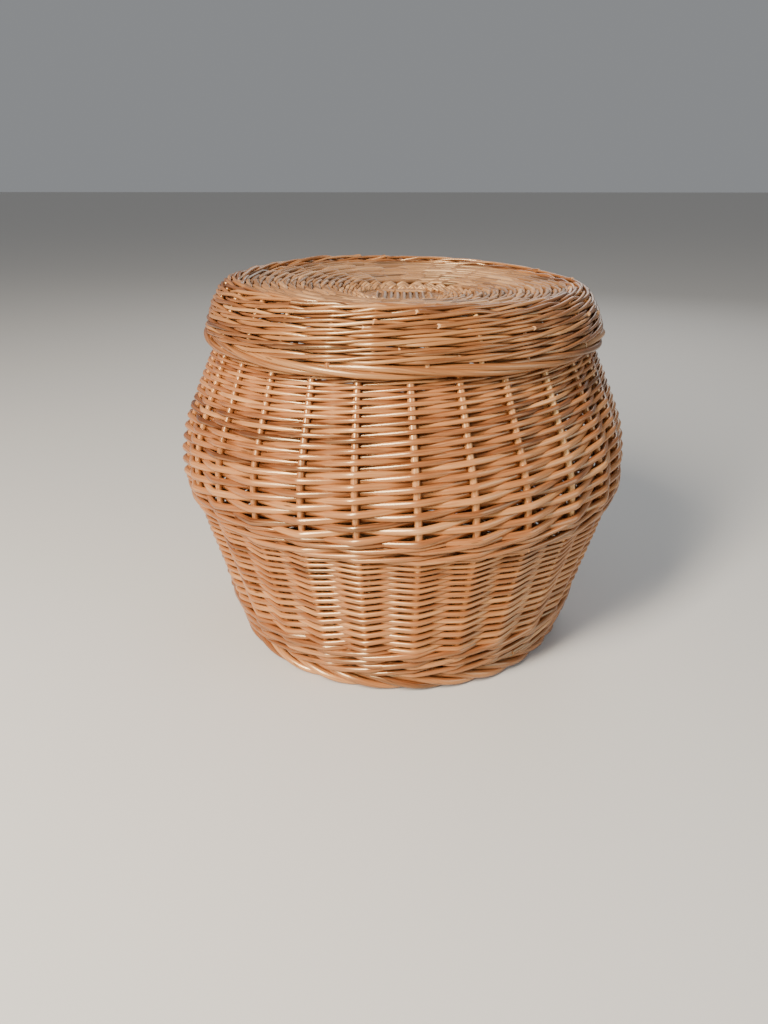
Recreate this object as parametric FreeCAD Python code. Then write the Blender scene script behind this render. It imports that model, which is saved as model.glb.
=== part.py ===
"""Round willow basket with a bulging side and a cap lid that lifts off.

Every sub-part is one stage of the basket maker's work: the pierced cross of sticks in the base
and in the lid, the discs woven on them, the upright stakes, the bands of weave worked round the
stakes, and the rolled borders. A band of weave is a ring of panels, one for each space between
two neighbours, with a groove down each side where the stake or the arm lies.
Millimetres, +Z up, origin on the floor at the centre of the foot.
"""
import FreeCAD, Part
import math
import os
from FreeCAD import Vector

# Driving dimensions
BELLY_D = 501.0
HEIGHT = 400.0
STAKE_COUNT = 28
STAKE_D = 7.2
LID_STAKE_D = 5.6
STICKS_EACH_WAY = 7
STICK_D = 6.8
STICK_PITCH = 7.1
SLIT_HEIGHT = 3.6
GROOVE_PLAY = 0.15
STAKE_PHASE_DEG = 1.5
SPACE_DEG = 360.0 / STAKE_COUNT
LID_CROSS_TURN_DEG = 90.0

# Half thickness of the woven walls and discs, from the middle of a stake to the outside of the rods
LOWER_WALL = 9.7
WAIST_WALL = 10.2
UPPER_WALL_FOOT = 9.5
UPPER_WALL_NECK = 6.3
LID_WALL = 6.2
DISC_WALL = 6.2

# Levels of the bands of weave, from the floor up
FOOT_TOP = 20.0
UPSETT_TOP = 58.0
LOWER_TOP = 174.0
WAIST_TOP = 197.0
UPPER_TOP = 350.0
NECK_TOP = 361.0
MOUTH_TOP = 373.0
LID_BORDER_BOTTOM = 339.2
LID_WALL_BOTTOM = 349.0
LID_WALL_TOP = 381.0

# Radii of the discs and of the borders
BASE_R = 178.0
BASE_ARM_R = 176.0
FOOT_R = 197.6
MOUTH_IN, MOUTH_OUT = 178.0, 191.5
LID_BORDER_R = 208.8
LID_BORDER_ROD = 5.4
BORDER_CHAMFER = 4.0
LID_DISC_R = 176.0
LID_CREST_R = 183.0
ARM_START_R = 28.9
BINDING_IN, BINDING_OUT = 36.0, 43.0

# Side profile of a stake: corner points (radius, height) and the radius of the bend at each.
# Its tail lies between two arms of the base, and it is bent up where the side begins.
BASE_Z = 14.5
BELLY_R = BELLY_D / 2 - UPPER_WALL_FOOT
STAKE_CORNERS = [
    (150.0, BASE_Z, 0),
    (189.4, BASE_Z, 11),
    (BELLY_R, 197.0, 45),
    (BELLY_R, 239.0, 140),
    (186.0, 366.0, 0),
]

# The lid: the dish of its disc, and the profile of a lid stake from its foot up, over and in
LID_CROSS_Z = 373.5
LID_DISC_RISE = 14.0
LID_ARM_R = 187.0
LID_STAKE_CORNERS = [
    (208.2, 345.0, 0),
    (203.9, 366.0, 60),
    (195.0, 388.0, 8),
    (150.0, 384.0, 0),
]


def point(radius, height):
    return Vector(radius, 0, height)


def bent_path(corners):
    """A wire in the XZ plane: straight runs joined by tangent arcs at the corners."""
    points = [point(r, z) for r, z, _ in corners]
    edges = []
    start = points[0]
    for before, here, after, (_, _, bend) in zip(points, points[1:], points[2:], corners[1:]):
        into = (here - before).normalize()
        out = (after - here).normalize()
        half_turn = into.getAngle(out) / 2
        setback = bend * math.tan(half_turn)
        first = here - into * setback
        last = here + out * setback
        towards_centre = (out - into).normalize()
        middle = here + towards_centre * (bend / math.cos(half_turn) - bend)
        edges.append(Part.LineSegment(start, first).toShape())
        edges.append(Part.Arc(first, middle, last).toShape())
        start = last
    edges.append(Part.LineSegment(start, points[-1]).toShape())
    return Part.Wire(edges)


def rod_along(path, diameter):
    """A round rod swept along a wire."""
    start = path.OrderedVertexes[0].Point
    direction = path.OrderedEdges[0].tangentAt(path.OrderedEdges[0].FirstParameter)
    section = Part.Wire(Part.makeCircle(diameter / 2, start, direction))
    return path.makePipeShell([section], True, True)


def quarter_turned(shapes, quarters=1):
    """Copies of shapes turned by quarter turns about the Z axis."""
    copies = [shape.copy() for shape in shapes]
    for copy in copies:
        copy.rotate(Vector(0, 0, 0), Vector(0, 0, 1), 90.0 * quarters)
    return copies


def round_the_axis(shape, count, phase_deg=0.0):
    """Copies of a shape evenly spaced about the Z axis."""
    copies = []
    for i in range(count):
        copy = shape.copy()
        copy.rotate(Vector(0, 0, 0), Vector(0, 0, 1), phase_deg + i * 360.0 / count)
        copies.append(copy)
    return copies


def panels(outline, rods, phase_deg=0.0):
    """A ring of the outline's section, in one panel for each space. The rods groove the first panel."""
    first = Part.Face(outline).revolve(Vector(0, 0, 0), Vector(0, 0, 1), SPACE_DEG)
    first.rotate(Vector(0, 0, 0), Vector(0, 0, 1), phase_deg)
    return round_the_axis(first.cut(Part.makeCompound(rods)), STAKE_COUNT)


def closed_outline(runs):
    """A closed wire through runs of points: a run of two is a straight edge, a longer one a smooth curve."""
    edges = []
    for run in runs:
        if len(run) == 2:
            edges.append(Part.LineSegment(*run).toShape())
        else:
            curve = Part.BSplineCurve()
            curve.interpolate(run)
            edges.append(curve.toShape())
    return Part.Wire(edges)


def side_at(path, height):
    """Centre of a stake where it crosses a height, and the outward normal of the wall there."""
    edge = next(e for e in path.OrderedEdges if e.BoundBox.ZMin - 1e-6 <= height <= e.BoundBox.ZMax + 1e-6)
    level = Part.LineSegment(point(0, height), point(BELLY_D, height)).toShape()
    near = edge.distToShape(level)[1][0][0]
    along = edge.tangentAt(edge.Curve.parameter(near))
    if along.z < 0:
        along = along * -1
    return near, Vector(along.z, 0, -along.x)


def band_section(path, bottom, top, half_bottom, half_top):
    """The section of the weave on the stakes between two heights, its half thickness changing evenly."""
    steps = max(3, round((top - bottom) / 18) + 1)
    outer, inner = [], []
    for i in range(steps):
        share = i / (steps - 1)
        height = bottom + (top - bottom) * share
        half = half_bottom + (half_top - half_bottom) * share
        centre, normal = side_at(path, height)
        outer.append(point(centre.x + half / normal.x, height))
        inner.append(point(centre.x - half / normal.x, height))
    inner.reverse()
    return closed_outline([outer, [outer[-1], inner[0]], inner, [inner[-1], outer[0]]])


def border_section(inside, outside, bottom, top, chamfer):
    """The section of a border: flat underneath and on top, with all its corners but one taken off."""
    corners = [
        point(inside + chamfer, bottom),
        point(outside - chamfer, bottom),
        point(outside, bottom + chamfer),
        point(outside, top - chamfer),
        point(outside - chamfer, top),
        point(inside, top),
        point(inside, bottom + chamfer),
    ]
    return Part.makePolygon(corners + corners[:1])


def stick(index, centre_z, arm_r, arm_rise, diameter):
    """A stick of the cross along X: straight in the middle, then its two arms run straight from the axis.

    The bends of all sticks lie on one cone, so that all the arms rise alike."""
    offset = index * STICK_PITCH
    angle = index * 2 * math.pi / STAKE_COUNT
    bend_r = offset / math.sin(angle) if index else ARM_START_R
    slope = arm_rise / (arm_r - ARM_START_R)
    bend = Vector(bend_r * math.cos(angle), offset, centre_z + slope * (bend_r - ARM_START_R))
    tip = Vector(arm_r * math.cos(angle), arm_r * math.sin(angle), centre_z + arm_rise)
    radius = diameter / 2
    left_bend = Vector(-bend.x, bend.y, bend.z)
    left_tip = Vector(-tip.x, tip.y, tip.z)
    pieces = [Part.makeCylinder(radius, 2 * bend.x, left_bend, Vector(1, 0, 0))]
    for knee, end in ((bend, tip), (left_bend, left_tip)):
        pieces.append(Part.makeSphere(radius, knee))
        pieces.append(Part.makeCylinder(radius, (end - knee).Length, knee, end - knee))
    return pieces[0].multiFuse(pieces[1:])


def whole_cross(centre_z, arm_r, arm_rise, diameter):
    """Both sets of sticks at their full thickness: those along X, and those along Y."""
    reach = STICKS_EACH_WAY // 2
    along_x = [stick(i, centre_z, arm_r, arm_rise, diameter) for i in range(-reach, reach + 1)]
    along_y = []
    for each in along_x:
        turned = each.copy()
        turned.rotate(Vector(0, 0, 0), Vector(0, 0, 1), 90)
        along_y.append(turned)
    return along_x, along_y


def pierced_cross(centre_z, arm_r, arm_rise):
    """The sticks along X with a slit through each, and those along Y thinned to pass through the slits."""
    along_x, along_y = whole_cross(centre_z, arm_r, arm_rise, STICK_D)
    half = STICKS_EACH_WAY * STICK_PITCH / 2
    thin = SLIT_HEIGHT - 2 * GROOVE_PLAY
    slit = Part.makeBox(2 * half, 4 * half, SLIT_HEIGHT, Vector(-half, -2 * half, centre_z - SLIT_HEIGHT / 2))
    block = Part.makeBox(4 * half, 2 * half, 2 * STICK_D, Vector(-2 * half, -half, centre_z - STICK_D))
    tongue = Part.makeBox(4 * half, 2 * half, thin, Vector(-2 * half, -half, centre_z - thin / 2))
    shaved = block.cut(tongue)
    return [each.cut(slit) for each in along_x], [each.cut(shaved) for each in along_y]


def disc_section(inside, outside, centre_z, rise, arm_r):
    """The section of a round of weave on the arms: flat, or dished where the arms rise towards the rim."""
    corners = []
    for radius, side in ((inside, -1), (outside, -1), (outside, 1), (inside, 1)):
        corners.append(point(radius, centre_z + rise * radius / arm_r + side * DISC_WALL))
    return Part.makePolygon(corners + corners[:1])


def solids_of(shape):
    return shape.Solids if shape.Solids else [shape]


def save(name, solids):
    """Writes one STEP of separate solids and prints their count and volume."""
    whole = Part.makeCompound([s for part in solids for s in solids_of(part)])
    assert whole.isValid(), name
    whole.exportStep(f"parts/{name}.step")
    print(f"{name}: {len(whole.Solids)} solids, {whole.Volume / 1000:.1f} cm3")


def stakes_and_grooves(path, diameter, phase_deg):
    """The stakes along a path, and the two slightly wider rods that groove the first panel."""
    stakes = round_the_axis(rod_along(path, diameter), STAKE_COUNT, phase_deg)
    return stakes, round_the_axis(rod_along(path, diameter + 2 * GROOVE_PLAY), STAKE_COUNT, phase_deg)[:2]


def build_side(path):
    """The stakes of the side, the bands of weave round them, and the borders below and above."""
    stakes, grooves = stakes_and_grooves(path, STAKE_D, STAKE_PHASE_DEG)
    save("side_stakes", stakes)
    sections = {
        "upsett_wale": band_section(path, FOOT_TOP, UPSETT_TOP, LOWER_WALL, LOWER_WALL),
        "lower_randing": band_section(path, UPSETT_TOP, LOWER_TOP, LOWER_WALL, LOWER_WALL),
        "waist_wale": band_section(path, LOWER_TOP, WAIST_TOP, LOWER_WALL, WAIST_WALL),
        "upper_randing": band_section(path, WAIST_TOP, UPPER_TOP, UPPER_WALL_FOOT, UPPER_WALL_NECK),
        "neck_wale": band_section(path, UPPER_TOP, NECK_TOP, UPPER_WALL_NECK, UPPER_WALL_NECK),
        "foot_border": border_section(BASE_R, FOOT_R, 0, FOOT_TOP, BORDER_CHAMFER),
        "mouth_border": border_section(MOUTH_IN, MOUTH_OUT, NECK_TOP, MOUTH_TOP, BORDER_CHAMFER),
    }
    for name, section in sections.items():
        save(name, panels(section, grooves, STAKE_PHASE_DEG))
    return grooves


def build_disc(prefix, centre_z, rise, arm_r, outside, turn_deg, tails):
    """A pierced cross of sticks, the rod that binds it and the disc woven on its arms."""
    pierced, through = pierced_cross(centre_z, arm_r, rise)
    middle = STICKS_EACH_WAY // 2
    wider = sum(whole_cross(centre_z, arm_r + 1, rise, STICK_D + 2 * GROOVE_PLAY), [])
    for each in pierced + through + wider:
        each.rotate(Vector(0, 0, 0), Vector(0, 0, 1), turn_deg)
    grooves = wider[middle:middle + 2]
    save(prefix + "_pierced_sticks", pierced)
    save(prefix + "_through_sticks", through)
    binding = Part.Face(disc_section(BINDING_IN, BINDING_OUT, centre_z, rise, arm_r))
    whole_binding = binding.revolve(Vector(0, 0, 0), Vector(0, 0, 1), 360)
    save(prefix + "_binding", [whole_binding.cut(Part.makeCompound(wider))])
    woven = disc_section(BINDING_OUT, outside, centre_z, rise, arm_r)
    save(prefix + "_weave", panels(woven, grooves + tails, turn_deg))
    return grooves


def crest_arc(crest, end):
    """An arc that leaves the crest level and curves down to its end."""
    drop = crest.z - end.z
    radius = ((end.x - crest.x) ** 2 + drop ** 2) / (2 * drop)
    centre = point(crest.x, crest.z - radius)
    halfway = centre + ((crest - centre) + (end - centre)).normalize() * radius
    return Part.Arc(crest, halfway, end).toShape()


def shoulder_section(path):
    """The section where the lid's wall turns over into its disc, rounded over the crest."""
    wall_end, normal = side_at(path, LID_WALL_TOP)
    half = LID_WALL / normal.x
    disc_edge = LID_CROSS_Z + LID_DISC_RISE * LID_DISC_R / LID_ARM_R
    outer, inner = point(wall_end.x + half, LID_WALL_TOP), point(wall_end.x - half, LID_WALL_TOP)
    top, under = point(LID_DISC_R, disc_edge + DISC_WALL), point(LID_DISC_R, disc_edge - DISC_WALL)
    crest = point(LID_CREST_R, HEIGHT)
    rounded = [crest_arc(crest, outer), crest_arc(crest, top)]
    straight = [Part.LineSegment(*pair).toShape() for pair in ((top, under), (under, inner), (inner, outer))]
    return Part.Wire(Part.__sortEdges__(rounded + straight))


def build_lid(path):
    """The lid: its dished disc, its stakes, the shoulder, the wall round the stakes and the rolled border."""
    half_space = SPACE_DEG / 2
    stakes, grooves = stakes_and_grooves(path, LID_STAKE_D, half_space)
    save("lid_stakes", stakes)
    arms = build_disc("lid", LID_CROSS_Z, LID_DISC_RISE, LID_ARM_R, LID_DISC_R, LID_CROSS_TURN_DEG,
                      quarter_turned(grooves[:1]))
    border_z = LID_BORDER_BOTTOM + LID_BORDER_ROD
    border = Part.Wire(Part.makeCircle(LID_BORDER_ROD, point(LID_BORDER_R, border_z), Vector(0, 1, 0)))
    wall = band_section(path, LID_WALL_BOTTOM, LID_WALL_TOP, LID_WALL, LID_WALL)
    whole_border = Part.makeTorus(LID_BORDER_R, LID_BORDER_ROD, point(0, border_z))
    save("lid_border", panels(border, grooves, half_space))
    save("lid_wall_wale", panels(wall, grooves + [whole_border], half_space))
    arm_between = quarter_turned(arms[1:], -1)
    save("lid_shoulder_wale", panels(shoulder_section(path), grooves + arm_between, half_space))


os.makedirs("parts", exist_ok=True)
side_grooves = build_side(bent_path(STAKE_CORNERS))
build_disc("base", BASE_Z, 0, BASE_ARM_R, BASE_R, STAKE_PHASE_DEG - SPACE_DEG / 2, side_grooves[:1])
build_lid(bent_path(LID_STAKE_CORNERS))
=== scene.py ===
import math

import bpy
import numpy as np
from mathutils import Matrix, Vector


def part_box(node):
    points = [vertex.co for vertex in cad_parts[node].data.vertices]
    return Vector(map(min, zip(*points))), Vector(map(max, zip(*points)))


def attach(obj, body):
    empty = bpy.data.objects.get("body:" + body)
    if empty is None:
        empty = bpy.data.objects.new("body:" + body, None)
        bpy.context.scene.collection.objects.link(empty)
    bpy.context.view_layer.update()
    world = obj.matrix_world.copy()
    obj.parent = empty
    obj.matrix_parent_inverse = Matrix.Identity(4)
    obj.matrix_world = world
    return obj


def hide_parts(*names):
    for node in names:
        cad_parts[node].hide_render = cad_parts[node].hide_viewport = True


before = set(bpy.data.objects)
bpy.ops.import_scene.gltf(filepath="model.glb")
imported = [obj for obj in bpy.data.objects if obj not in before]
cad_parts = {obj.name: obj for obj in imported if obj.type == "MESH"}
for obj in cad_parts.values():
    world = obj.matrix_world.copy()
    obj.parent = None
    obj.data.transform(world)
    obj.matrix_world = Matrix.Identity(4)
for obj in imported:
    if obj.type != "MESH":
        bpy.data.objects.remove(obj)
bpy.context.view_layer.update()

random = np.random.default_rng(28)

MM = 0.001

# The stakes stand at equal spaces round the basket, and the arms of the base lie between them.
STAKES = 28
SPACE = 2 * math.pi / STAKES
SIDE_PHASE = math.radians(1.5)
LID_PHASE = SPACE / 2
BASE_ARM_PHASE = SIDE_PHASE - SPACE / 2

# Thickness of the stakes and the sticks, and half the thickness of the lid's weave.
SIDE_STAKE = 7.4 * MM
LID_STAKE = 5.0 * MM
STICK = 6.8 * MM
STICK_PITCH = 7.1 * MM
LID_HALF = 6.2 * MM

# How far the weaving rods bed into the stakes.
RANDING_BED = 1.5 * MM
WALE_BED = 0.6 * MM

# Shape of the whole basket past its round CAD form. Heights are in metres above the floor.
TWIST = math.radians(2.1)
TWIST_TOP, TWIST_RUN = 0.345, 0.145
LID_LEAN_FROM, LID_LEAN_RUN = 0.352, 0.045
LID_LEAN = 0.016
LID_BACK_RISE = 0.16
SHOULDER_FROM, SHOULDER_RUN = 0.365, 0.03
SHOULDER_PULL = 0.022


# ---------------------------------------------------------------- the frame's surfaces

def first_hit(nodes, start, towards):
    """Where a ray first meets any of the CAD nodes."""
    way = (Vector(towards) - Vector(start)).normalized()
    hits = [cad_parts[n].ray_cast(Vector(start), way) for n in nodes]
    places = [place for found, place, _, _ in hits if found]
    return min(places, key=lambda place: (place - Vector(start)).length) if places else None


def at_angle(radius, height, angle):
    return (radius * math.cos(angle), radius * math.sin(angle), height)


class Meridian:
    """The middle line of a woven wall or disc, from its start to its end, as radius and height.

    Calling it with distances along the line gives the radius, the height and the outward normal there."""

    def __init__(self, line, step=1.5 * MM):
        line = np.array(line, float)
        run = np.concatenate([[0], np.cumsum(np.hypot(*np.diff(line, axis=0).T))])
        self.length = run[-1]
        self.s = np.linspace(0, self.length, max(8, int(self.length / step)))
        raw = np.stack([np.interp(self.s, run, line[:, i]) for i in (0, 1)], 1)
        kernel = np.hanning(9)[1:-1]
        kernel /= kernel.sum()
        padded = np.concatenate([2 * raw[:1] - raw[3:0:-1], raw, 2 * raw[-1:] - raw[-2:-5:-1]])
        self.line = np.stack([np.convolve(padded[:, i], kernel, "valid") for i in (0, 1)], 1)
        tangent = np.gradient(self.line, self.s, axis=0)
        tangent /= np.linalg.norm(tangent, axis=1)[:, None]
        self.normal = np.stack([tangent[:, 1], -tangent[:, 0]], 1)

    def __call__(self, s):
        past = np.where(s < 0, s, np.where(s > self.length, s - self.length, 0))
        values = [np.interp(s, self.s, column) for column in (*self.line.T, *self.normal.T)]
        radius, height, out, up = values
        return radius - past * up, height + past * out, out, up

    def where_height(self, height):
        """Distance along the line, before its highest point, at which it reaches a height."""
        rising = slice(0, int(self.line[:, 1].argmax()) + 1)
        return float(np.interp(height, self.line[rising, 1], self.s[rising]))

    def where_radius(self, radius):
        """Distance along a line that runs inwards at which it reaches a radius."""
        return float(np.interp(-radius, -self.line[:, 0], self.s))


WALL_BANDS = ["upsett_wale", "lower_randing", "waist_wale", "upper_randing", "neck_wale"]


def side_meridian():
    """The stakes' line up the side: halfway between the wall's inner and outer faces."""
    low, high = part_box("upsett_wale")[0].z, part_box("neck_wale")[1].z
    angle = SIDE_PHASE + SPACE / 2
    well_outside = 0.4
    line = []
    for height in np.arange(low + 0.5 * MM, high, 2 * MM):
        outer = first_hit(WALL_BANDS, at_angle(well_outside, height, angle), (0, 0, height))
        inner = first_hit(WALL_BANDS, (0, 0, height), at_angle(well_outside, height, angle))
        line.append(((outer.xy.length + inner.xy.length) / 2, height))
    return Meridian(line)


def lid_meridian():
    """The lid's middle line, from the rolled border up the wall, over the crest and in to the cross.

    Rays from outside the lid towards a point under its shoulder meet its whole outer face in turn."""
    nodes = ["lid_wall_wale", "lid_shoulder_wale", "lid_weave", "lid_binding"]
    under_shoulder = np.array([0.150, 0.330])
    well_outside = 0.12
    last_ray, ray_step = math.radians(158), math.radians(0.4)
    phase = LID_PHASE / 2
    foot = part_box("lid_wall_wale")[0].z + 0.6 * MM
    inner_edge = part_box("lid_binding")[1].x - 5 * MM
    outer_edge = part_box("lid_wall_wale")[1].x
    first_ray = math.atan2(foot - under_shoulder[1], outer_edge - under_shoulder[0])
    skin = []
    for angle in np.arange(first_ray, last_ray, ray_step):
        far = under_shoulder + well_outside * np.array([math.cos(angle), math.sin(angle)])
        hit = first_hit(nodes, at_angle(*far, phase), at_angle(*under_shoulder, phase))
        if hit and hit.xy.length > inner_edge:
            skin.append((hit.xy.length, hit.z))
    surface = Meridian(skin)
    return Meridian(surface.line - surface.normal * LID_HALF)


def base_meridian():
    """The base disc's middle line, from the rim in to the cross, facing up."""
    low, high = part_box("base_weave")
    level = (low.z + high.z) / 2
    inner_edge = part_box("base_binding")[1].x - 5 * MM
    return Meridian([(high.x, level), (inner_edge, level)])


# ---------------------------------------------------------------- rods

def rounded_wave(x):
    """1 at even numbers and -1 at odd ones, nearly straight between, as a stiff rod bends at the stakes."""
    sharpness = 0.985
    return np.arcsin(sharpness * np.cos(math.pi * x)) / math.asin(sharpness)


def wobble(x, size, longest=9.0):
    """A slow random swing along a rod."""
    total = np.zeros_like(x)
    for wave in (1.0, 0.53, 0.27):
        total += wave * np.sin(2 * math.pi * x / (longest * wave) + random.uniform(0, 6.283))
    return size * total / 1.8


def uneven_spacing(seed, size):
    """Small shifts of each stake round the basket, as a smooth function of the stake count."""
    shifts = np.random.default_rng(seed).normal(0, size, STAKES)
    shifts -= shifts.mean()

    def shift(kappa):
        whole = np.floor(kappa).astype(int)
        part = kappa - whole
        ease = part * part * (3 - 2 * part)
        return shifts[whole % STAKES] * (1 - ease) + shifts[(whole + 1) % STAKES] * ease

    return shift


SIDE_SHIFT = uneven_spacing(5, 0.035)
LID_SHIFT = uneven_spacing(6, 0.05)


def ramp(value, start, run):
    """0 up to start, 1 past start + run, and straight between."""
    return np.clip((value - start) / run, 0, 1)


def handmade(points):
    """The slow unevenness of a basket made by eye: the same small drift for all that is near.

    The side twists a little below the neck. The lid's shoulder is pulled in, its back rim stands higher,
    and it leans down towards +X."""
    x, y, z = points.T
    angle = np.arctan2(y, x)
    radius = np.hypot(x, y)
    height = z / 0.4
    out = 0.9 * np.sin(2 * angle + 1.0 + 2 * height) + 0.6 * np.sin(3 * angle - 4.0 * height + 0.5)
    lift = 0.8 * np.sin(2 * angle - 0.7 + 3 * height) + 0.5 * np.sin(5 * angle + 2.0 + height)
    grip = MM * ramp(z, 0, 0.05) * ramp(radius, 0, 0.1)
    lean = (LID_BACK_RISE * np.maximum(y, 0) ** 2 - LID_LEAN * x) * ramp(z, LID_LEAN_FROM, LID_LEAN_RUN)
    twist = TWIST * ramp(TWIST_TOP - z, 0, TWIST_RUN)
    radius = radius * (1 - SHOULDER_PULL * ramp(z, SHOULDER_FROM, SHOULDER_RUN)) + out * grip
    angle = angle + twist
    return np.stack([radius * np.cos(angle), radius * np.sin(angle), z + lift * grip + lean], 1)


def rod(path, radius, facing, tone, sides=8, tall=1.0, slant=0.0):
    """A tube along a path: its points, its faces, and the tone and the grain place of each point.

    Tall widens it across the facing side. Slant cuts its first end at an angle, so the cut faces out."""
    path = handmade(np.asarray(path, float))
    count = len(path)
    radius = np.broadcast_to(np.asarray(radius, float), (count,))
    tangent = np.gradient(path, axis=0)
    tangent /= np.linalg.norm(tangent, axis=1)[:, None]
    facing = facing - (facing * tangent).sum(1)[:, None] * tangent
    facing /= np.linalg.norm(facing, axis=1)[:, None]
    across = np.cross(tangent, facing)
    turn = np.arange(sides) * 2 * math.pi / sides
    cos, sin = np.cos(turn), np.sin(turn)
    ring = cos[None, :, None] * facing[:, None] + tall * sin[None, :, None] * across[:, None]
    points = path[:, None] + ring * radius[:, None, None]
    points[0] += (slant * radius[0] * cos)[:, None] * tangent[0]
    run = np.concatenate([[0], np.cumsum(np.linalg.norm(np.diff(path, axis=0), axis=1))])
    start = random.uniform(0, 40, 3)
    grain = np.empty_like(points)
    grain[..., 0] = start[0] + run[:, None]
    grain[..., 1] = start[1] + radius[:, None] * cos
    grain[..., 2] = start[2] + radius[:, None] * sin
    first = np.arange(count - 1)[:, None] * sides + np.arange(sides)
    after = np.arange(count - 1)[:, None] * sides + np.roll(np.arange(sides), -1)
    quads = np.stack([first, after, after + sides, first + sides], -1).reshape(-1, 4)
    tones = np.broadcast_to(tone, (count,))[:, None].repeat(sides, 1)
    return {"points": points.reshape(-1, 3), "quads": quads, "sides": sides,
            "grain": grain.reshape(-1, 3), "tone": tones.reshape(-1)}


def piece_of_rods(name, rods, body, nodes, material, cut_end):
    """One mesh of many rods with closed cut ends, riding on its body in place of its CAD nodes."""
    corners, totals, cut = [], [], []
    offset = 0
    for each in rods:
        quads = each["quads"] + offset
        corners.append(quads.reshape(-1))
        totals.append(np.full(len(quads), 4))
        cut.append(np.zeros(len(quads), int))
        sides, size = each["sides"], len(each["points"])
        lids = (np.arange(sides)[::-1] + offset, np.arange(size - sides, size) + offset)
        for lid in lids:
            corners.append(lid)
            totals.append([sides])
            cut.append([1])
        offset += size
    corners, totals, cut = (np.concatenate(a).astype(np.int32) for a in (corners, totals, cut))
    starts = np.concatenate([[0], np.cumsum(totals)[:-1]]).astype(np.int32)

    def of_all_rods(key):
        return np.concatenate([each[key] for each in rods]).astype(np.float32).reshape(-1)

    mesh = bpy.data.meshes.new(name)
    mesh.vertices.add(offset)
    mesh.vertices.foreach_set("co", of_all_rods("points"))
    mesh.loops.add(len(corners))
    mesh.loops.foreach_set("vertex_index", corners)
    mesh.polygons.add(len(totals))
    mesh.polygons.foreach_set("loop_start", starts)
    mesh.polygons.foreach_set("material_index", cut)
    mesh.update(calc_edges=True)
    mesh.validate()
    grain = mesh.attributes.new("grain", "FLOAT_VECTOR", "POINT")
    grain.data.foreach_set("vector", of_all_rods("grain"))
    tone = mesh.attributes.new("tone", "FLOAT", "POINT")
    tone.data.foreach_set("value", of_all_rods("tone"))
    mesh.shade_smooth()
    mesh.set_sharp_from_angle(angle=math.radians(65))
    mesh.materials.append(material)
    mesh.materials.append(cut_end)
    piece = bpy.data.objects.new(name, mesh)
    bpy.context.scene.collection.objects.link(piece)
    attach(piece, body)
    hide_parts(*nodes)
    return piece


def on_meridian(meridian, phase, shift, kappa, s, offset):
    """Points kappa stakes round, s along the meridian and offset out from it, and the outward normals."""
    radius, height, out, up = meridian(s)
    angle = phase + SPACE * (kappa + shift(kappa))
    radius, height = radius + out * offset, height + up * offset
    cos, sin = np.cos(angle), np.sin(angle)
    path = np.stack([radius * cos, radius * sin, height], 1)
    normal = np.stack([out * cos, out * sin, up], 1)
    return path, normal


STAKE_STEPS = np.array([0, 0.045, 0.11, 0.22, 0.36, 0.5, 0.64, 0.78, 0.89, 0.955])


def stake_counts(first, last, steps=STAKE_STEPS):
    """Sampling places along a rod, close together where it bends round a stake."""
    whole = np.arange(math.floor(first), math.ceil(last) + 1)
    kappa = (whole[:, None] + steps).reshape(-1)
    kappa = kappa[(kappa > first + 0.01) & (kappa < last - 0.01)]
    return np.concatenate([[first], kappa, [last]])


def rod_tone():
    return float(np.clip(random.normal(0.5, 0.16), 0, 1))


# ---------------------------------------------------------------- weaves

def french_randing(meridian, phase, shift, start, pitch, levels, fullest, stake):
    """One rod from each stake, in front of one and behind the next, all climbing half a row a stake.

    Pitch gives the height of each row. A rod is about half as thick, up to the fullest."""
    share = 0.525
    rows = np.concatenate([[0], np.cumsum([pitch(n) for n in range(levels + 2)])])
    rods = []
    for j in range(STAKES):
        kappa = stake_counts(j - 1.2, j + 2 * levels + 0.2)
        level = (kappa - j) / 2
        s = start + np.interp(level, np.arange(len(rows)), rows)
        s = np.where(level < 0, start + level * pitch(0), s)
        diameter = np.minimum(share * np.array([pitch(max(n, 0)) for n in level]), fullest)
        diameter = diameter * random.normal(1.0, 0.03)
        reach = stake / 2 + diameter / 2 - RANDING_BED
        offset = reach * rounded_wave(kappa - j) + wobble(kappa, 0.2 * MM)
        s = s + wobble(kappa, 0.3 * MM)
        path, normal = on_meridian(meridian, phase, shift, kappa, s, offset)
        tone = rod_tone() + wobble(kappa, 0.06, 14)
        rods.append(rod(path, diameter / 2, normal, tone, tall=1.16))
    return rods


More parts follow.
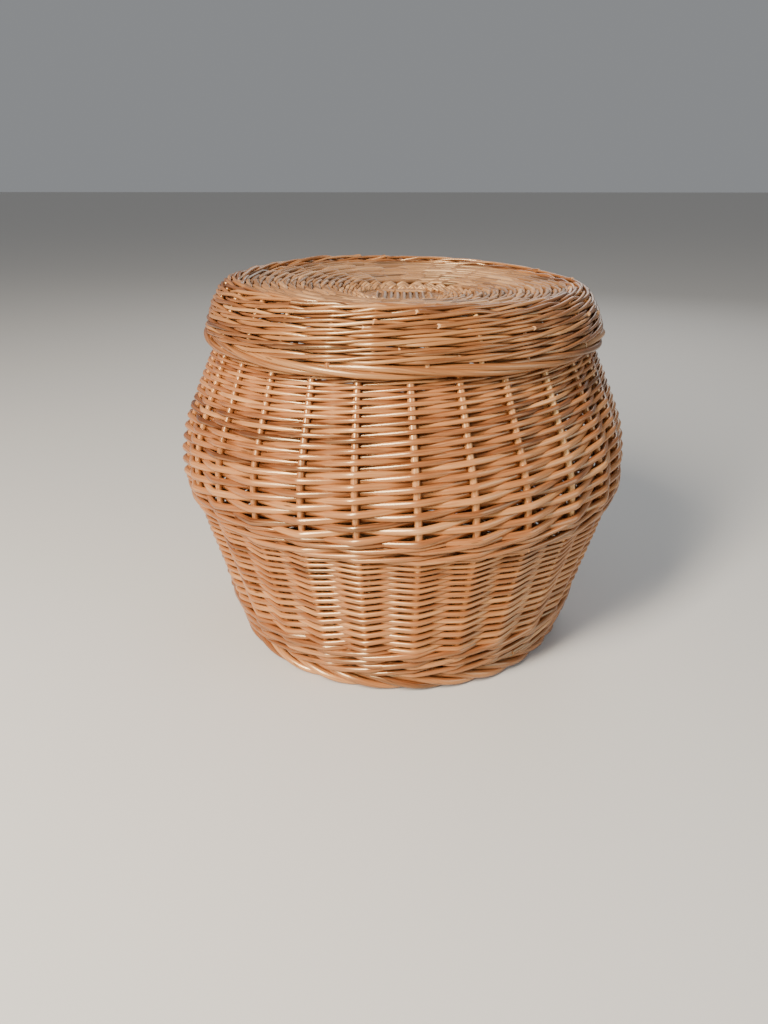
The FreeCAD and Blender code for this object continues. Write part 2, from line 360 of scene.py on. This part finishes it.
def waling(meridian, phase, shift, start, end, strands, pitch, diameter, stake, sides=8,
           rise=1.15, piece=(20, 34), tail=0.0, steps=STAKE_STEPS):
    """Strands that each pass in front of all stakes but one and behind that one, laid like a rope.

    They climb in a helix from start to end. Each is pieced from rods that are some spaces long, as piece
    says, and lap a little. Tail pushes the butt end of each rod outwards, with a slanting cut."""
    lap = 0.35
    shortest_piece = 5
    tail_length = 0.3
    rods = []
    turns = (end - start) / pitch
    for i in range(strands):
        finish = i + turns * STAKES
        begin = float(i)
        while begin < finish - 2:
            stop = min(begin + random.uniform(*piece), finish)
            if finish - stop < shortest_piece:
                stop = finish
            kappa = stake_counts(begin - lap, stop + lap, steps)
            x = (kappa - i) % strands
            x = np.minimum(x, strands - x)
            stroke = ((kappa - i) / strands) % 1.0
            size = diameter * random.normal(1.0, 0.09) * np.linspace(1.07, 0.9, len(kappa))
            reach = stake / 2 + size / 2 - WALE_BED
            offset = -reach * rounded_wave(np.minimum(x, 1.0))
            s = start + pitch * (kappa - i) / STAKES - rise / 2 * diameter * np.sin(2 * math.pi * stroke)
            s = s + wobble(kappa, 0.45 * MM)
            offset = offset + tail * np.clip(1 - (kappa - kappa[0]) / tail_length, 0, 1)
            path, normal = on_meridian(meridian, phase, shift, kappa, s, offset)
            tone = rod_tone() + np.linspace(-0.05, 0.05, len(kappa))
            rods.append(rod(path, size / 2, normal, tone, sides, tall=1.06, slant=0.8 if tail else 0.0))
            begin = stop
    return rods


def rolled_border(centre, section, diameter, phase, shift, lay, every=1, uneven=0.05, sides=10):
    """Rods wound like the strands of a rope round a ring: each dips from top to bottom over the outside.

    Lay is how many spaces a rod takes to go once round the section. A rod starts at every so many stakes,
    more or less, as uneven says."""
    per_space = 9
    radius, height = centre
    rods = []
    for i in range(0, STAKES, every):
        begin = i + every * random.normal(0, uneven)
        kappa = np.linspace(begin, begin + lay, int(lay * per_space))
        psi = math.pi - 2 * math.pi * (kappa - begin) / lay
        angle = phase + SPACE * (kappa + shift(kappa))
        size = diameter * random.normal(1.0, 0.05) * np.linspace(1.05, 0.85, len(kappa))
        spread = section * random.normal(1.0, 0.06)
        r = radius + spread * np.cos(psi)
        z = height + spread * np.sin(psi)
        path = np.stack([r * np.cos(angle), r * np.sin(angle), z], 1)
        normal = np.stack([np.cos(psi) * np.cos(angle), np.cos(psi) * np.sin(angle), np.sin(psi)], 1)
        rods.append(rod(path, size / 2, normal, rod_tone(), sides))
    return rods


def stakes_along(meridian, phase, shift, first, last, diameter, taper=0.1):
    """The upright stakes, a little thinner towards the top."""
    rods = []
    for k in range(STAKES):
        s = np.linspace(first, last, int(abs(last - first) / (4 * MM)) + 2)
        kappa = np.full_like(s, float(k))
        path, normal = on_meridian(meridian, phase, shift, kappa, s, wobble(s / MM, 0.15 * MM, 90))
        size = diameter * random.normal(1.0, 0.03) * np.linspace(1 + taper / 2, 1 - taper / 2, len(s))
        rods.append(rod(path, size / 2, normal, rod_tone(), 10))
    return rods


def cross_sticks(level, rise, reach, turned, pierced):
    """Seven sticks side by side whose arms fan out to the rim. Those that pass through the pierced ones
    are pared down there."""
    half = 3
    pared_to, run_out = 30 * MM, 6 * MM
    rods = []
    for i in range(-half, half + 1):
        offset = i * STICK_PITCH
        angle = i * SPACE
        bend = offset / math.tan(angle) if i else reach
        t = np.linspace(-1, 1, 61)
        along = np.abs(t) ** 1.4 * reach
        ray = np.maximum(along, 1e-6)
        x = np.where(along * math.cos(angle) < bend, along, ray * math.cos(angle))
        y = np.where(along * math.cos(angle) < bend, offset, ray * math.sin(angle))
        x = np.sign(t) * x
        height = level + rise * np.hypot(x, y) / reach
        radius = np.full_like(t, STICK / 2) * random.normal(1, 0.03)
        if not pierced:
            radius = radius * (1 - 0.5 * ramp(pared_to - np.abs(x), 0, run_out))
        cos, sin = math.cos(turned), math.sin(turned)
        path = np.stack([x * cos - y * sin, x * sin + y * cos, height], 1)
        keep = np.concatenate([[True], np.linalg.norm(np.diff(path, axis=0), axis=1) > 0.4 * MM])
        path, radius = path[keep], radius[keep]
        facing = np.tile([0.0, 0.0, 1.0], (len(path), 1))
        darker_and_even = 0.35 + 0.6 * (rod_tone() - 0.5)
        rods.append(rod(path, radius, facing, darker_and_even, 10))
    return rods


def binding_loops(level, turned, half_side, diameter, ways):
    """Square loops of rod round the cross. Each goes over one pair of sides and under the other."""
    rods = []
    for n, over_first in enumerate(ways):
        side = half_side + n * diameter * 1.02
        angle = np.linspace(0, 2 * math.pi, 121)[:-1] + 0.3
        power = 5.0
        stretch = (np.abs(np.cos(angle)) ** power + np.abs(np.sin(angle)) ** power) ** (-1 / power)
        x, y = side * stretch * np.cos(angle), side * stretch * np.sin(angle)
        sway = np.cos(2 * angle)
        height = level + (1 if over_first else -1) * (STICK / 2 + diameter / 2) * np.clip(3 * sway, -1, 1)
        cos, sin = math.cos(turned), math.sin(turned)
        path = np.stack([x * cos - y * sin, x * sin + y * cos, height], 1)
        facing = np.tile([0.0, 0.0, 1.0], (len(path), 1)) + 0.2 * path / side
        rods.append(rod(path, np.full(len(path), diameter / 2), facing, rod_tone(), 8))
    return rods


# ---------------------------------------------------------------- materials

def new_material(name):
    material = bpy.data.materials.new(name)
    material.use_nodes = True
    nodes, links = material.node_tree.nodes, material.node_tree.links
    return material, nodes, links, nodes["Principled BSDF"]


def linear(red, green, blue):
    """A colour picked in 0 to 255 display values, as the shader wants it."""
    shares = [v / 255 for v in (red, green, blue)]
    return tuple(s / 12.92 if s <= 0.04045 else ((s + 0.055) / 1.055) ** 2.4 for s in shares) + (1.0,)


def willow(name, colours, roughness=0.26, coat=0.03):
    """Varnished willow: each rod its own tone, streaked along its grain, with the scars of buds.

    The noises are given by how many features they have in a metre along the rod and across it."""
    material, nodes, links, shader = new_material(name)
    grain = nodes.new("ShaderNodeAttribute")
    grain.attribute_name = "grain"
    tone = nodes.new("ShaderNodeAttribute")
    tone.attribute_name = "tone"

    def stretched(along, across):
        place = nodes.new("ShaderNodeVectorMath")
        place.operation = "MULTIPLY"
        place.inputs[1].default_value = (along, across, across)
        links.new(grain.outputs["Vector"], place.inputs[0])
        return place.outputs["Vector"]

    def noise(along, across, detail):
        node = nodes.new("ShaderNodeTexNoise")
        node.inputs["Scale"].default_value = 1.0
        node.inputs["Detail"].default_value = detail
        links.new(stretched(along, across), node.inputs["Vector"])
        return node.outputs["Fac"]

    def math_node(operation, a, b, clamp=False):
        node = nodes.new("ShaderNodeMath")
        node.operation = operation
        node.use_clamp = clamp
        for socket, value in zip(node.inputs, (a, b)):
            if isinstance(value, (int, float)):
                socket.default_value = value
            else:
                links.new(value, socket)
        return node.outputs["Value"]

    patches = noise(9, 90, 3)
    streaks = noise(30, 700, 3)
    patchy = math_node("MULTIPLY", math_node("SUBTRACT", patches, 0.5), 0.8)
    streaky = math_node("MULTIPLY", math_node("SUBTRACT", streaks, 0.5), 0.9)
    mixed = math_node("ADD", tone.outputs["Fac"], patchy)
    mixed = math_node("ADD", mixed, streaky, clamp=True)
    shades = nodes.new("ShaderNodeValToRGB")
    shades.color_ramp.interpolation = "EASE"
    elements = shades.color_ramp.elements
    while len(elements) < len(colours):
        elements.new(0.5)
    for n, colour in enumerate(colours):
        elements[n].position = n / (len(colours) - 1)
        elements[n].color = linear(*colour)
    links.new(mixed, shades.inputs["Fac"])

    scars = nodes.new("ShaderNodeTexVoronoi")
    scars.inputs["Scale"].default_value = 1.0
    links.new(stretched(22, 160), scars.inputs["Vector"])
    scar = math_node("LESS_THAN", scars.outputs["Distance"], 0.10)
    darkened = nodes.new("ShaderNodeMix")
    darkened.data_type = "RGBA"
    darkened.inputs["B"].default_value = linear(70, 36, 18)
    links.new(math_node("MULTIPLY", scar, 0.65), darkened.inputs["Factor"])
    links.new(shades.outputs["Color"], darkened.inputs["A"])
    links.new(darkened.outputs["Result"], shader.inputs["Base Color"])

    dull = math_node("MULTIPLY", math_node("SUBTRACT", noise(14, 260, 2), 0.5), 0.3)
    links.new(math_node("ADD", dull, roughness), shader.inputs["Roughness"])
    shader.inputs["Coat Weight"].default_value = coat
    shader.inputs["Coat Roughness"].default_value = 0.22
    shader.inputs["IOR"].default_value = 1.65
    shader.inputs["Specular IOR Level"].default_value = 1.0
    shader.inputs["Specular Tint"].default_value = (1.0, 0.75, 0.42, 1.0)

    bump = nodes.new("ShaderNodeBump")
    bump.inputs["Strength"].default_value = 0.35
    bump.inputs["Distance"].default_value = 0.25 * MM
    ridge = math_node("ADD", noise(30, 1300, 2), math_node("MULTIPLY", noise(60, 200, 2), 0.8))
    links.new(ridge, bump.inputs["Height"])
    links.new(bump.outputs["Normal"], shader.inputs["Normal"])
    return material


def cut_wood():
    """The pale, speckled clipped end of a rod."""
    material, nodes, links, shader = new_material("cut_end")
    speckle = nodes.new("ShaderNodeTexNoise")
    speckle.inputs["Scale"].default_value = 900
    place = nodes.new("ShaderNodeTexCoord")
    links.new(place.outputs["Object"], speckle.inputs["Vector"])
    shades = nodes.new("ShaderNodeValToRGB")
    dark, pale = shades.color_ramp.elements
    dark.position = 0.3
    pale.position = 0.7
    dark.color = linear(158, 108, 66)
    pale.color = linear(204, 158, 110)
    links.new(speckle.outputs["Fac"], shades.inputs["Fac"])
    links.new(shades.outputs["Color"], shader.inputs["Base Color"])
    shader.inputs["Roughness"].default_value = 0.7
    return material


# ---------------------------------------------------------------- the basket

side = side_meridian()
lid = lid_meridian()
base = base_meridian()

# Shades of the willow, from its darkest to its palest, as display values.
HONEY = [(88, 46, 22), (132, 77, 42), (162, 102, 58), (184, 124, 74), (206, 152, 102)]
AMBER = [(84, 43, 20), (124, 72, 39), (152, 94, 54), (174, 115, 69), (196, 143, 95)]
GOLDEN = [(70, 36, 16), (110, 64, 34), (141, 88, 49), (163, 110, 65), (188, 138, 93)]
# The stakes' shades are the willow's own honey tones, painted paler as a painted highlight along the stakes.
STAKE_SHADES_WITH_PAINTED_HIGHLIGHT = [(120, 68, 34), (158, 98, 54), (188, 126, 74), (206, 150, 92), (222, 176, 118)]
MUTED = [(76, 47, 28), (114, 75, 47), (145, 99, 63), (166, 119, 79), (186, 142, 100)]

cut_end = cut_wood()
weave_wood = willow("willow_weave", HONEY)
# The stakes' material is willow with a painted highlight, taken from the paler stake shades.
stake_wood_with_painted_highlight = willow("willow_stake_with_painted_highlight", STAKE_SHADES_WITH_PAINTED_HIGHLIGHT, roughness=0.28)
wale_wood = willow("willow_wale", AMBER)
border_wood = willow("willow_border", HONEY)
disc_wood = willow("willow_disc", MUTED, roughness=0.48, coat=0.02)
stick_wood = willow("willow_stick", MUTED, roughness=0.45)
lid_wood = willow("willow_lid", GOLDEN, roughness=0.27)
lid_border_wood = willow("willow_lid_border", GOLDEN, roughness=0.28)


def node_s(node, end, meridian):
    """Distance along a meridian of a CAD node's bottom, end 0, or its top, end 1."""
    return meridian.where_height(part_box(node)[end].z)


def stake_line(reach, level, meridian):
    """The line of a stake: out from under the base disc, round the foot and up the side."""
    rising = meridian.line[meridian.line[:, 1] > level + 8 * MM]
    return Meridian([(reach, level), (rising[0, 0] - 9 * MM, level), *rising])


def build_side():
    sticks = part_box("base_through_sticks")
    level = (sticks[0].z + sticks[1].z) / 2
    inner_end = 0.15
    line = stake_line(inner_end, level, side)
    stakes = stakes_along(line, SIDE_PHASE, SIDE_SHIFT, 0, line.length + 8 * MM, SIDE_STAKE)
    piece_of_rods("side_stakes_rods", stakes, "basket", ["side_stakes"], stake_wood_with_painted_highlight, cut_end)

    bottom = node_s("lower_randing", 0, side) + 1.5 * MM
    top = node_s("lower_randing", 1, side)
    lower_levels, lower_fullest = 14, 6.6 * MM
    mean = (top - bottom) / lower_levels

    def lower_pitch(level):
        return mean * (1.30 - 0.6 * min(level, lower_levels) / lower_levels)

    rods = french_randing(side, SIDE_PHASE, SIDE_SHIFT, bottom, lower_pitch, lower_levels, lower_fullest,
                          SIDE_STAKE)
    piece_of_rods("lower_randing_rods", rods, "basket", ["lower_randing"],
                  weave_wood, cut_end)

    bottom = node_s("upper_randing", 0, side) + 2.5 * MM
    upper_levels, upper_fullest = 18, 7.4 * MM

    def upper_pitch(level):
        return max(13.0 - 0.5 * level, 4.7) * MM

    rods = french_randing(side, SIDE_PHASE, SIDE_SHIFT, bottom, upper_pitch, upper_levels, upper_fullest,
                          SIDE_STAKE)
    piece_of_rods("upper_randing_rods", rods, "basket", ["upper_randing"],
                  weave_wood, cut_end)

    strands = 3
    pitch_diameter_and_inset = {
        "upsett_wale": (12.6 * MM, 6.0 * MM, -1.5 * MM),
        "waist_wale": (11.2 * MM, 5.2 * MM, 0.5 * MM),
        "neck_wale": (7.0 * MM, 4.1 * MM, 0.0),
    }
    for node, (pitch, diameter, inset) in pitch_diameter_and_inset.items():
        start = node_s(node, 0, side) + diameter * 0.7 + inset - 0.3 * pitch
        end = max(node_s(node, 1, side) - diameter * 0.6 + 0.3 * pitch, start + pitch)
        rods = waling(side, SIDE_PHASE, SIDE_SHIFT, start, end, strands, pitch, diameter, SIDE_STAKE)
        piece_of_rods(node + "_rods", rods, "basket", [node], wale_wood, cut_end)

    for node, diameter, lay in (("foot_border", 8.2 * MM, 3.5), ("mouth_border", 5.0 * MM, 5.0)):
        low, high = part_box(node)
        height = (low.z + high.z) / 2
        clear_of_floor = 0.6 * MM
        section = (high.z - low.z - diameter * 1.06) / 2 - clear_of_floor
        centre = (high.x - section - diameter / 2, height)
        rods = rolled_border(centre, section, diameter, SIDE_PHASE, SIDE_SHIFT, lay)
        piece_of_rods(node + "_rods", rods, "basket", [node], border_wood, cut_end)


def evenly(kappa):
    """No shift: the arms of a cross are spaced evenly."""
    return 0 * kappa


def spaces_round(start, end, pitch):
    """How many spaces past its first stake a spiral of weave comes to its end."""
    return round((end - start) / pitch * STAKES) % STAKES


def build_disc(prefix, body, meridian, phase, turned, rise, reach, first, thickness):
    """The cross of sticks, its binding, and the weave on its arms: three strands, then two near the cross."""
    strands_change, weave_end = 72 * MM, 39.5 * MM
    loop_half_side, loop_rod = 29.5 * MM, 3.8 * MM
    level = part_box(prefix + "_through_sticks")[0].z + STICK / 2
    pierced = cross_sticks(level, rise, reach, turned, True)
    through = cross_sticks(level, rise, reach, turned + math.pi / 2, False)
    piece_of_rods(prefix + "_pierced_sticks_rods", pierced, body,
                  [prefix + "_pierced_sticks"], stick_wood, cut_end)
    piece_of_rods(prefix + "_through_sticks_rods", through, body,
                  [prefix + "_through_sticks"], stick_wood, cut_end)
    loops = binding_loops(level, turned, loop_half_side, loop_rod, (False, True, True))
    piece_of_rods(prefix + "_binding_rods", loops, body, [prefix + "_binding"],
                  disc_wood, cut_end)

    steps = np.array([0, 0.12, 0.3, 0.5, 0.7, 0.88])
    arm = STICK - 1 * MM
    opened = meridian.where_radius(strands_change)
    pitch = 2.03 * thickness
    rods = waling(meridian, phase, evenly, first, opened, 3, pitch, thickness, arm, sides=6, steps=steps,
                  piece=(26, 44))
    phase += SPACE * spaces_round(first, opened, pitch)
    last = meridian.where_radius(weave_end)
    thin = thickness * 0.8
    rods += waling(meridian, phase, evenly, opened, last, 2, 1.35 * thin, thin, arm, sides=6, steps=steps,
                   rise=0.5, piece=(26, 44))
    piece_of_rods(prefix + "_weave_rods", rods, body, [prefix + "_weave"],
                  disc_wood, cut_end)


def build_lid():
    wale_end, arm_reach, dish_rise = 176 * MM, 187 * MM, 14 * MM
    crest_end = lid.where_radius(wale_end)
    stakes = stakes_along(lid, LID_PHASE, LID_SHIFT, -4 * MM, crest_end + 24 * MM, LID_STAKE)
    piece_of_rods("lid_stakes_rods", stakes, "lid", ["lid_stakes"], stake_wood_with_painted_highlight, cut_end)

    diameter = 3.55 * MM
    pitch = 2.02 * diameter
    start = 1.5 * MM
    rods = waling(lid, LID_PHASE, LID_SHIFT, start, crest_end, 3, pitch, diameter, LID_STAKE, tail=1.4 * MM,
                  piece=(9, 16))
    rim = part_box("lid_wall_wale")[1].z
    wall = [each for each in rods if each["points"][:, 2].mean() < rim]
    shoulder = [each for each in rods if each["points"][:, 2].mean() >= rim]
    piece_of_rods("lid_wall_wale_rods", wall, "lid", ["lid_wall_wale"], lid_wood, cut_end)
    piece_of_rods("lid_shoulder_wale_rods", shoulder, "lid", ["lid_shoulder_wale"],
                  lid_wood, cut_end)
    phase = SPACE * spaces_round(start, crest_end, pitch)
    build_disc("lid", "lid", lid, phase, turned=math.pi / 2, rise=dish_rise, reach=arm_reach,
               first=crest_end + 0.3 * MM, thickness=4.6 * MM)

    low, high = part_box("lid_border")
    rod_size = 6.8 * MM
    section = (high.z - low.z - rod_size) / 2 + 1.6 * MM
    centre = (high.x - section - rod_size / 2 + 1 * MM, (low.z + high.z) / 2 + 0.6 * MM)
    rods = rolled_border(centre, section, rod_size, LID_PHASE, LID_SHIFT, 6.0, every=2, uneven=0.13)
    piece_of_rods("lid_border_rods", rods, "lid", ["lid_border"], lid_border_wood, cut_end)


build_side()
build_disc("base", "basket", base, BASE_ARM_PHASE, turned=BASE_ARM_PHASE, rise=0, reach=176 * MM,
           first=-2.5 * MM, thickness=3.6 * MM)
build_lid()


# ---------------------------------------------------------------- the studio

def floor_plane():
    mesh = bpy.data.meshes.new("floor")
    half = 20.0
    corners = [(-half, -half, 0), (half, -half, 0), (half, half, 0), (-half, half, 0)]
    mesh.from_pydata(corners, [], [(0, 1, 2, 3)])
    floor = bpy.data.objects.new("floor", mesh)
    bpy.context.scene.collection.objects.link(floor)
    material, _, _, shader = new_material("pale_floor")
    shader.inputs["Base Color"].default_value = linear(206, 202, 196)
    shader.inputs["Roughness"].default_value = 0.55
    mesh.materials.append(material)


def soft_light(name, place, target, size, power, colour):
    data = bpy.data.lights.new(name, "AREA")
    data.shape = "RECTANGLE"
    data.size, data.size_y = size
    data.energy = power
    data.color = colour
    light = bpy.data.objects.new(name, data)
    light.location = place
    light.rotation_euler = (Vector(target) - Vector(place)).to_track_quat("-Z", "Y").to_euler()
    bpy.context.scene.collection.objects.link(light)


def studio():
    floor_plane()
    soft_light("key_light", (-1.2, -1.6, 1.6), (0, 0, 0.2), (0.5, 1.3), 155, (1.0, 0.925, 0.81))
    soft_light("fill_light", (2.0, -1.0, 1.0), (0, 0, 0.2), (1.6, 1.6), 21, (0.74, 0.87, 1.0))
    soft_light("rim_light", (0.6, 2.0, 1.5), (0, 0, 0.35), (1.4, 1.4), 12, (0.95, 0.97, 1.0))
    world = bpy.data.worlds.new("studio")
    world.use_nodes = True
    glow = world.node_tree.nodes["Background"]
    glow.inputs["Color"].default_value = linear(226, 229, 233)
    glow.inputs["Strength"].default_value = 0.34
    bpy.context.scene.world = world


def camera():
    data = bpy.data.cameras.new("camera")
    data.sensor_width = 36
    data.lens = 26.9
    view = bpy.data.objects.new("camera", data)
    view.location = (0, -0.855, 0.503)
    view.rotation_euler = (math.radians(90 - 24.06), 0, math.radians(1.41))
    bpy.context.scene.collection.objects.link(view)
    bpy.context.scene.camera = view


studio()
camera()
